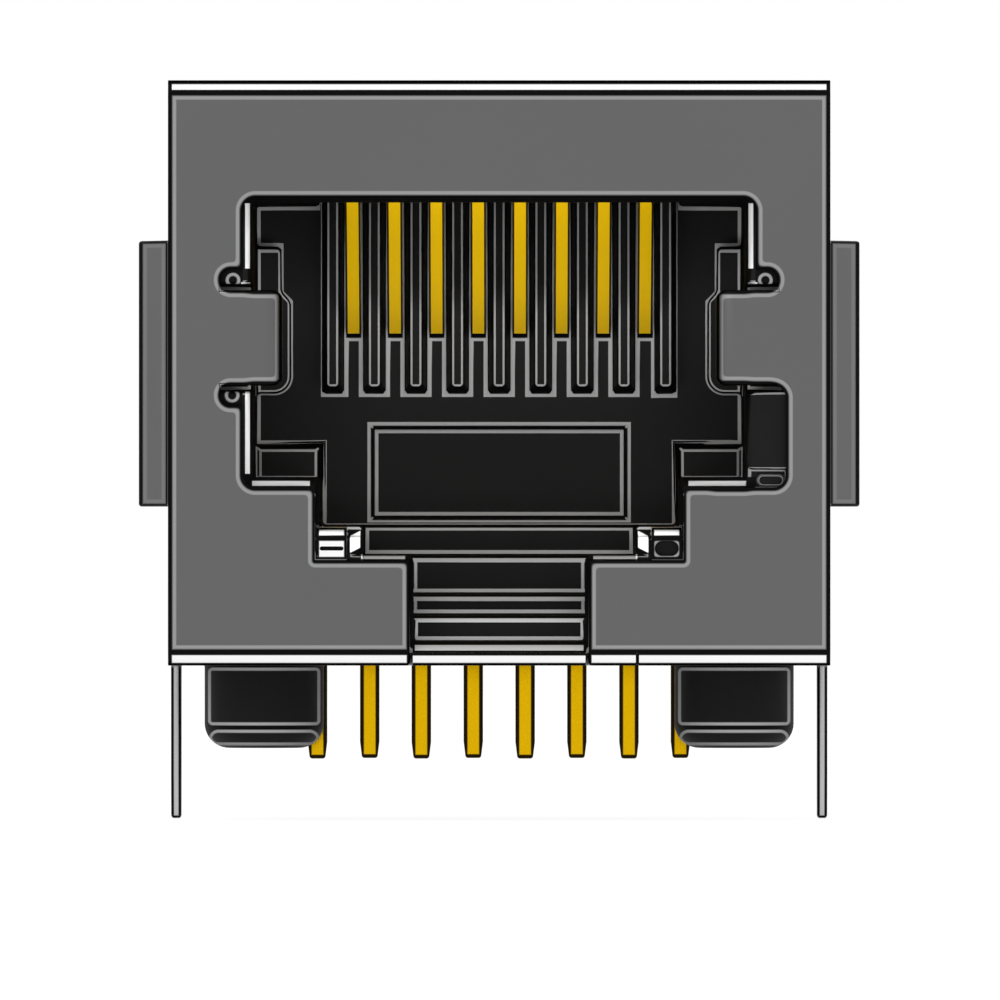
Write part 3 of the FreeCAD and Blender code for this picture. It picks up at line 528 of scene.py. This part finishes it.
def paint_rear(made, ahead):
    """The tips' painted shadow and a painted highlight line on the rear wall, and painted
    highlights at the ends of the treads.
    """
    flat = ahead.rise(0.9, 0.95)
    wall = made.wide.below(TIP_HALF) * flat * made.depth.rise(*TIP_DEPTH)
    made.paint(wall * made.z.band(*TIP_SHADE), PLASTIC_SHADE)
    # Painted highlight line on the rear wall
    made.paint(wall * made.z.band(*TIP_HIGHLIGHT), PLASTIC_EDGE_HIGHLIGHT)
    tread = union([made.z.band(low, high) for low, high in TREADS])
    end = (made.wide - TREAD_END + LINE / 2).band(0, LINE)
    # Painted highlights at the ends of the treads
    made.paint(tread * end * flat * made.depth.fall(*TREAD_DEPTH), PLASTIC_EDGE_HIGHLIGHT)


def plastic(name, rim):
    """Black moulded plastic with a fine spark-eroded grain, painted grey highlights on its edges,
    and painted shade in the mouth.
    """
    made = Finish(name)
    ahead = made.ahead.size()
    grain = made.noise(14, detail=3)
    cloud = made.noise(0.5, detail=3)
    mouth = (made.z.rise(*MOUTH_LOW) * made.wide.fall(*MOUTH_HALF)
             * made.depth.fall(*MOUTH_DEPTH))
    near = made.depth.fall(*MOUTH_EDGE) * mouth
    # Painted light: the plastic is written lighter towards the rear wall to make up for the shade
    # deep in the mouth, with random tone from the cloud
    made.colour = made.shade(PLASTIC, 0.30 + 0.3 * cloud + made.depth * 0.07)
    made.paint(ahead.fall(0.70, 0.72) * mouth, PLASTIC_SHADE)
    if rim:
        # Painted highlight on rounded edges turned partly to the front, dimmer deeper in the
        # mouth
        lit = ahead.rise(0.71, 0.73) * ahead.fall(0.993, 0.998) * made.z.above(0.28)
        made.paint(lit, made.blend(made.depth.rise(0.9, 1), DIM_HIGHLIGHT, PLASTIC_EDGE_HIGHLIGHT))
    paint_opening(made, near)
    paint_rails(made, near)
    paint_pegs(made)
    paint_rear(made, ahead)
    made.set(Base_Color=made.colour, Roughness=0.5 + 0.12 * cloud, Specular_IOR_Level=0.06)
    made.bump(grain, 0.004)
    return made.material


def gold(name, rim):
    """Gold plate over spring bronze, with painted shade along the edges of its strips and tails.
    """
    made = Finish(name)
    z, ahead = made.z, made.ahead
    cloud = made.noise(0.8, detail=3)
    draw = made.noise(3, detail=4, stretch=(8, 1, 1))
    tail = z.fall(0, 0.2)
    # Painted light: the springs' gold is written darker towards the top, where more light reaches
    # it, with random tone from the noise
    made.colour = made.shade(made.blend(tail, MOUTH_GOLD_BRIGHTENED, GOLD),
                             0.95 + 0.06 * cloud + 0.04 * draw - 0.34 * z.rise(8.6, 11.2))
    on_tail = made.inside_row(TAIL_PITCH, TAIL_HALF).smaller(z - TAIL_END)
    on_strip = made.inside_row(STRIP_PITCH, STRIP_HALF)
    # Painted shade along the sides of the tails and strips, and on rounded edges turned away from
    # the front
    dark = [on_tail.below(LINE + OUTLINE_MORE) * tail * ahead.rise(*TURNED),
            on_strip.below(LINE / 2) * (1 - tail) * ahead.rise(0.1, 0.2)]
    if rim:
        dark.append(made.facing.fall(0.93, 0.985))
    made.paint(union(dark), GOLD_EDGE_SHADE)
    made.set(Base_Color=made.colour, Metallic=0.1 + 0.9 * tail, Specular_IOR_Level=0.2,
             Roughness=0.34 + 0.1 * cloud - 0.28 * tail)
    made.bump(draw, 0.0008)
    return made.material


def edge_gaps(points, along, inwards, length):
    """How far each edge of a face can move inwards before it meets one that isn't beside it."""
    tiny = 1e-7
    away = points[None] - points[:, None]
    span = np.einsum("ijk,ik->ij", away, along)
    rise = np.einsum("ijk,ik->ij", away, inwards)
    span_end, rise_end = np.roll(span, -1, axis=1), np.roll(rise, -1, axis=1)
    low = np.maximum(np.minimum(span, span_end), 0)
    high = np.minimum(np.maximum(span, span_end), length[:, None])
    run = np.where(np.abs(span_end - span) < tiny, 1, span_end - span)
    slope = (rise_end - rise) / run
    least = np.minimum(rise + (low - span) * slope, rise + (high - span) * slope)
    count = len(points)
    index = np.arange(count)
    apart = (index[None] - index[:, None]) % count
    other = (apart > 1) & (apart < count - 1) & (high - low > tiny) & (least > tiny)
    return np.where(other, least, 1.0).min(axis=1)


def rooms(face, sharp):
    """How far each edge of a face can move inwards before it meets another or shrinks away.

    Only sharp edges move. An end between two of them moves along their bisector, and an end
    at a still edge slides along that edge.
    """
    points = np.array([corner.vert.co[:] for corner in face.loops])
    along = np.roll(points, -1, axis=0) - points
    length = np.linalg.norm(along, axis=1)
    along = along / length[:, None]
    normal = np.array(face.normal[:])
    before = np.roll(along, 1, axis=0)
    sine = np.cross(before, along) @ normal
    cosine = np.sum(before * along, axis=1)
    meeting = np.tan(np.arctan2(sine, cosine) / 2)
    sliding = np.clip(-cosine / np.where(np.abs(sine) < 0.01, 0.01, sine), -1, 1)
    moves = np.array([sharp[corner.edge.index] for corner in face.loops])
    start = np.where(np.roll(moves, 1), meeting, sliding)
    end = np.where(np.roll(moves, -1), np.roll(meeting, -1), np.roll(sliding, -1))
    closing = start + end
    shrinking = np.where(closing > 0.01, length / np.maximum(closing, 0.01), 1.0)
    return np.minimum(edge_gaps(points, along, np.cross(normal, along), length), shrinking)


def even_chains(build, widths):
    """Gives every run of sharp edges that turns gently the smallest width found along it."""
    head = list(range(len(widths)))

    def first(index):
        while head[index] != index:
            index = head[index]
        return index

    for vert in build.verts:
        sharp = [edge for edge in vert.link_edges if widths[edge.index] < np.inf]
        away = [(edge.other_vert(vert).co - vert.co).normalized() for edge in sharp]
        for second in range(len(sharp)):
            for other in range(second):
                if away[second].dot(away[other]) < -math.cos(GENTLE_TURN):
                    head[first(sharp[second].index)] = first(sharp[other].index)
    run = np.array([first(index) for index in range(len(widths))])
    smallest = np.full(len(widths), np.inf)
    np.minimum.at(smallest, run, widths)
    return smallest[run]


def edge_widths(build, round_of):
    """How far each sharp edge is rounded, in metres, and infinity for every other edge.

    round_of gives an edge's radius and the share of the room beside it, from its ends.
    """
    sharp = [edge.calc_face_angle(0) > SHARP_ANGLE for edge in build.edges]
    room = np.ones(len(build.edges))
    for face in build.faces:
        edges = [corner.edge.index for corner in face.loops]
        np.minimum.at(room, edges, rooms(face, sharp))
    widths = np.full(len(build.edges), np.inf)
    for edge in build.edges:
        if sharp[edge.index]:
            radius, share = round_of([vert.co / MM for vert in edge.verts])
            widths[edge.index] = min(radius * MM, share * room[edge.index])
    return even_chains(build, widths)


def dressed(node, name, round_of, faces, rims):
    """A closed copy of a CAD piece whose edges are rounded, which stands for that piece.

    The copy's doubled points are merged and its flat triangles joined.
    """
    mesh = bpy.data.meshes.new(name)
    build = bmesh.new()
    build.from_mesh(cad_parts[node].data)
    bmesh.ops.remove_doubles(build, verts=build.verts, dist=2e-7)
    bmesh.ops.dissolve_limit(build, angle_limit=math.radians(0.5), verts=build.verts,
                             edges=build.edges)
    build.normal_update()
    build.edges.index_update()
    widths = edge_widths(build, round_of)
    weight = build.edges.layers.float.new("bevel_weight_edge")
    for edge in build.edges:
        rounded = widths[edge.index] < np.inf
        edge[weight] = widths[edge.index] / (WIDEST * MM) if rounded else 0.0
        edge.smooth = not (rounded and widths[edge.index] < THINNEST * MM)
    for face in build.faces:
        face.smooth = True
        face.material_index = 0
    build.to_mesh(mesh)
    build.free()
    piece = bpy.data.objects.new(name, mesh)
    bpy.context.scene.collection.objects.link(piece)
    mesh.materials.append(faces)
    mesh.materials.append(rims)
    bevel = piece.modifiers.new("rounding", "BEVEL")
    bevel.limit_method = "WEIGHT"
    bevel.width = WIDEST * MM
    bevel.segments = ROUND_STEPS
    bevel.use_clamp_overlap = False
    bevel.material = 1
    flat = piece.modifiers.new("flat_faces", "WEIGHTED_NORMAL")
    flat.keep_sharp = True
    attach(piece, "root")
    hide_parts(node)
    return piece


def shield_round(ends):
    """A small die roll on every edge of the sheet."""
    return SHEET_ROUND, SHEET_SHARE


def plastic_round(ends):
    """One radius on the housing's edges, a smaller one on the comb, none on the mouth's bevel."""
    depths = [end.y - FRONT for end in ends]
    outer = all(abs(depth - SHEET) < SAME and abs(abs(end.x) - OPENING_HALF) < SAME
                for end, depth in zip(ends, depths))
    inner = all(abs(depth - SHEET - LEAD_IN) < SAME for depth in depths)
    if outer or inner:
        return 0.0, SHARE
    comb = all(abs(end.x) < COMB_HALF and end.z > COMB_LOW and COMB_START < depth < COMB_END
               for end, depth in zip(ends, depths))
    return (COMB_ROUND if comb else PLASTIC_ROUND), SHARE


def insert_round(ends):
    """The radius on the insert's edges."""
    return INSERT_ROUND, SHARE


def contact_round(ends):
    """A larger radius on the run down to the board than on the springs."""
    down = max(end.z for end in ends) < DOWN_TOP and min(end.y for end in ends) > DOWN_FRONT
    return (TAIL_ROUND if down else STRIP_ROUND), SHARE


nickel_face = nickel("nickel_face", False)
nickel_edge = nickel("nickel_edge", True)
plastic_face = plastic("plastic_face", False)
plastic_edge = plastic("plastic_edge", True)
gold_face = gold("gold_face", False)
gold_edge = gold("gold_edge", True)

dressed("front_shield", "shield_dressed", shield_round, nickel_face, nickel_edge)
dressed("rear_cover", "cover_dressed", shield_round, nickel_face, nickel_edge)
dressed("housing", "housing_dressed", plastic_round, plastic_face, plastic_edge)
dressed("contact_insert", "insert_dressed", insert_round, plastic_face, plastic_edge)
for number in range(1, 9):
    dressed("contact_" + str(number), "contact_dressed_" + str(number), contact_round,
            gold_face, gold_edge)


# Stage: a pale floor, white surroundings, soft lamps and the camera
def stage():
    """The floor, which shows white to the eye and to metal and still takes a shadow."""
    half = 3000 * MM
    low = FLOOR * MM
    mesh = bpy.data.meshes.new("floor")
    mesh.from_pydata([(-half, -half, low), (half, -half, low), (half, half, low),
                      (-half, half, low)], [], [(0, 1, 2, 3)])
    floor = bpy.data.objects.new("floor", mesh)
    bpy.context.scene.collection.objects.link(floor)
    made = Finish("pale_floor")
    ray = made.node("ShaderNodeLightPath").outputs
    seen = Wire(made.tree, ray["Is Camera Ray"]).larger(Wire(made.tree, ray["Is Glossy Ray"]))
    glow = made.node("ShaderNodeEmission", None, {"Color": (1, 1, 1), "Strength": 1.15})
    made.set(Base_Color=(0.85, 0.85, 0.85), Roughness=0.9, Specular_IOR_Level=0.0)
    mixed = made.node("ShaderNodeMixShader", None, {0: seen * 0.8})
    made.tree.links.new(made.shader.outputs[0], mixed.inputs[1])
    made.tree.links.new(glow.outputs[0], mixed.inputs[2])
    output = made.tree.nodes["Material Output"]
    made.tree.links.new(mixed.outputs[0], output.inputs["Surface"])
    mesh.materials.append(made.material)


def surroundings():
    """A room that is white to the eye and to metal, and sheds a plain pale light."""
    world = bpy.data.worlds.new("room")
    bpy.context.scene.world = world
    world.use_nodes = True
    tree = world.node_tree
    back = tree.nodes["Background"]
    back.inputs["Color"].default_value = (1, 1, 1, 1)
    ray = tree.nodes.new("ShaderNodeLightPath").outputs
    seen = Wire(tree, ray["Is Camera Ray"]).larger(Wire(tree, ray["Is Glossy Ray"]))
    join(tree, ROOM_LIGHT + (1 - ROOM_LIGHT) * seen, back.inputs["Strength"])


def lamp(name, place, aim, width, height, power, mirrored):
    """A soft oblong lamp, turned to a point. Metal shows it only where it is mirrored."""
    data = bpy.data.lights.new(name, "AREA")
    data.shape = "RECTANGLE"
    data.size = width * MM
    data.size_y = height * MM
    data.energy = power
    made = bpy.data.objects.new(name, data)
    bpy.context.scene.collection.objects.link(made)
    made.location = Vector(place) * MM
    made.rotation_euler = (Vector(aim) - Vector(place)).to_track_quat("-Z", "Y").to_euler()
    made.visible_camera = False
    made.visible_glossy = mirrored


def camera():
    """A long lens straight in front of the mouth, at the photograph's height and scale."""
    data = bpy.data.cameras.new("camera")
    data.sensor_width = SENSOR
    data.lens = LENS
    data.clip_start = 0.01
    data.clip_end = 20
    made = bpy.data.objects.new("camera", data)
    bpy.context.scene.collection.objects.link(made)
    made.location = Vector((EYE_ACROSS, FRONT - VIEW_WIDTH * LENS / SENSOR, EYE_UP)) * MM
    made.rotation_euler = (math.radians(90), 0, 0)
    bpy.context.scene.camera = made


stage()
surroundings()
lamp("key", (-250, -400, 400), (0, 0, 5), 300, 300, 0.9, True)
lamp("front", (0, -750, 30), (0, 0, 6), 300, 300, 6.0, False)
lamp("card", (0, -38, FLOOR + 0.2), (0, -38, 100), 80, 24, 0.08, False)
lamp("rear", (200, 600, 350), (0, 0, 5), 300, 300, 1.4, True)
camera()

view = bpy.context.scene.view_settings
view.view_transform = "Standard"
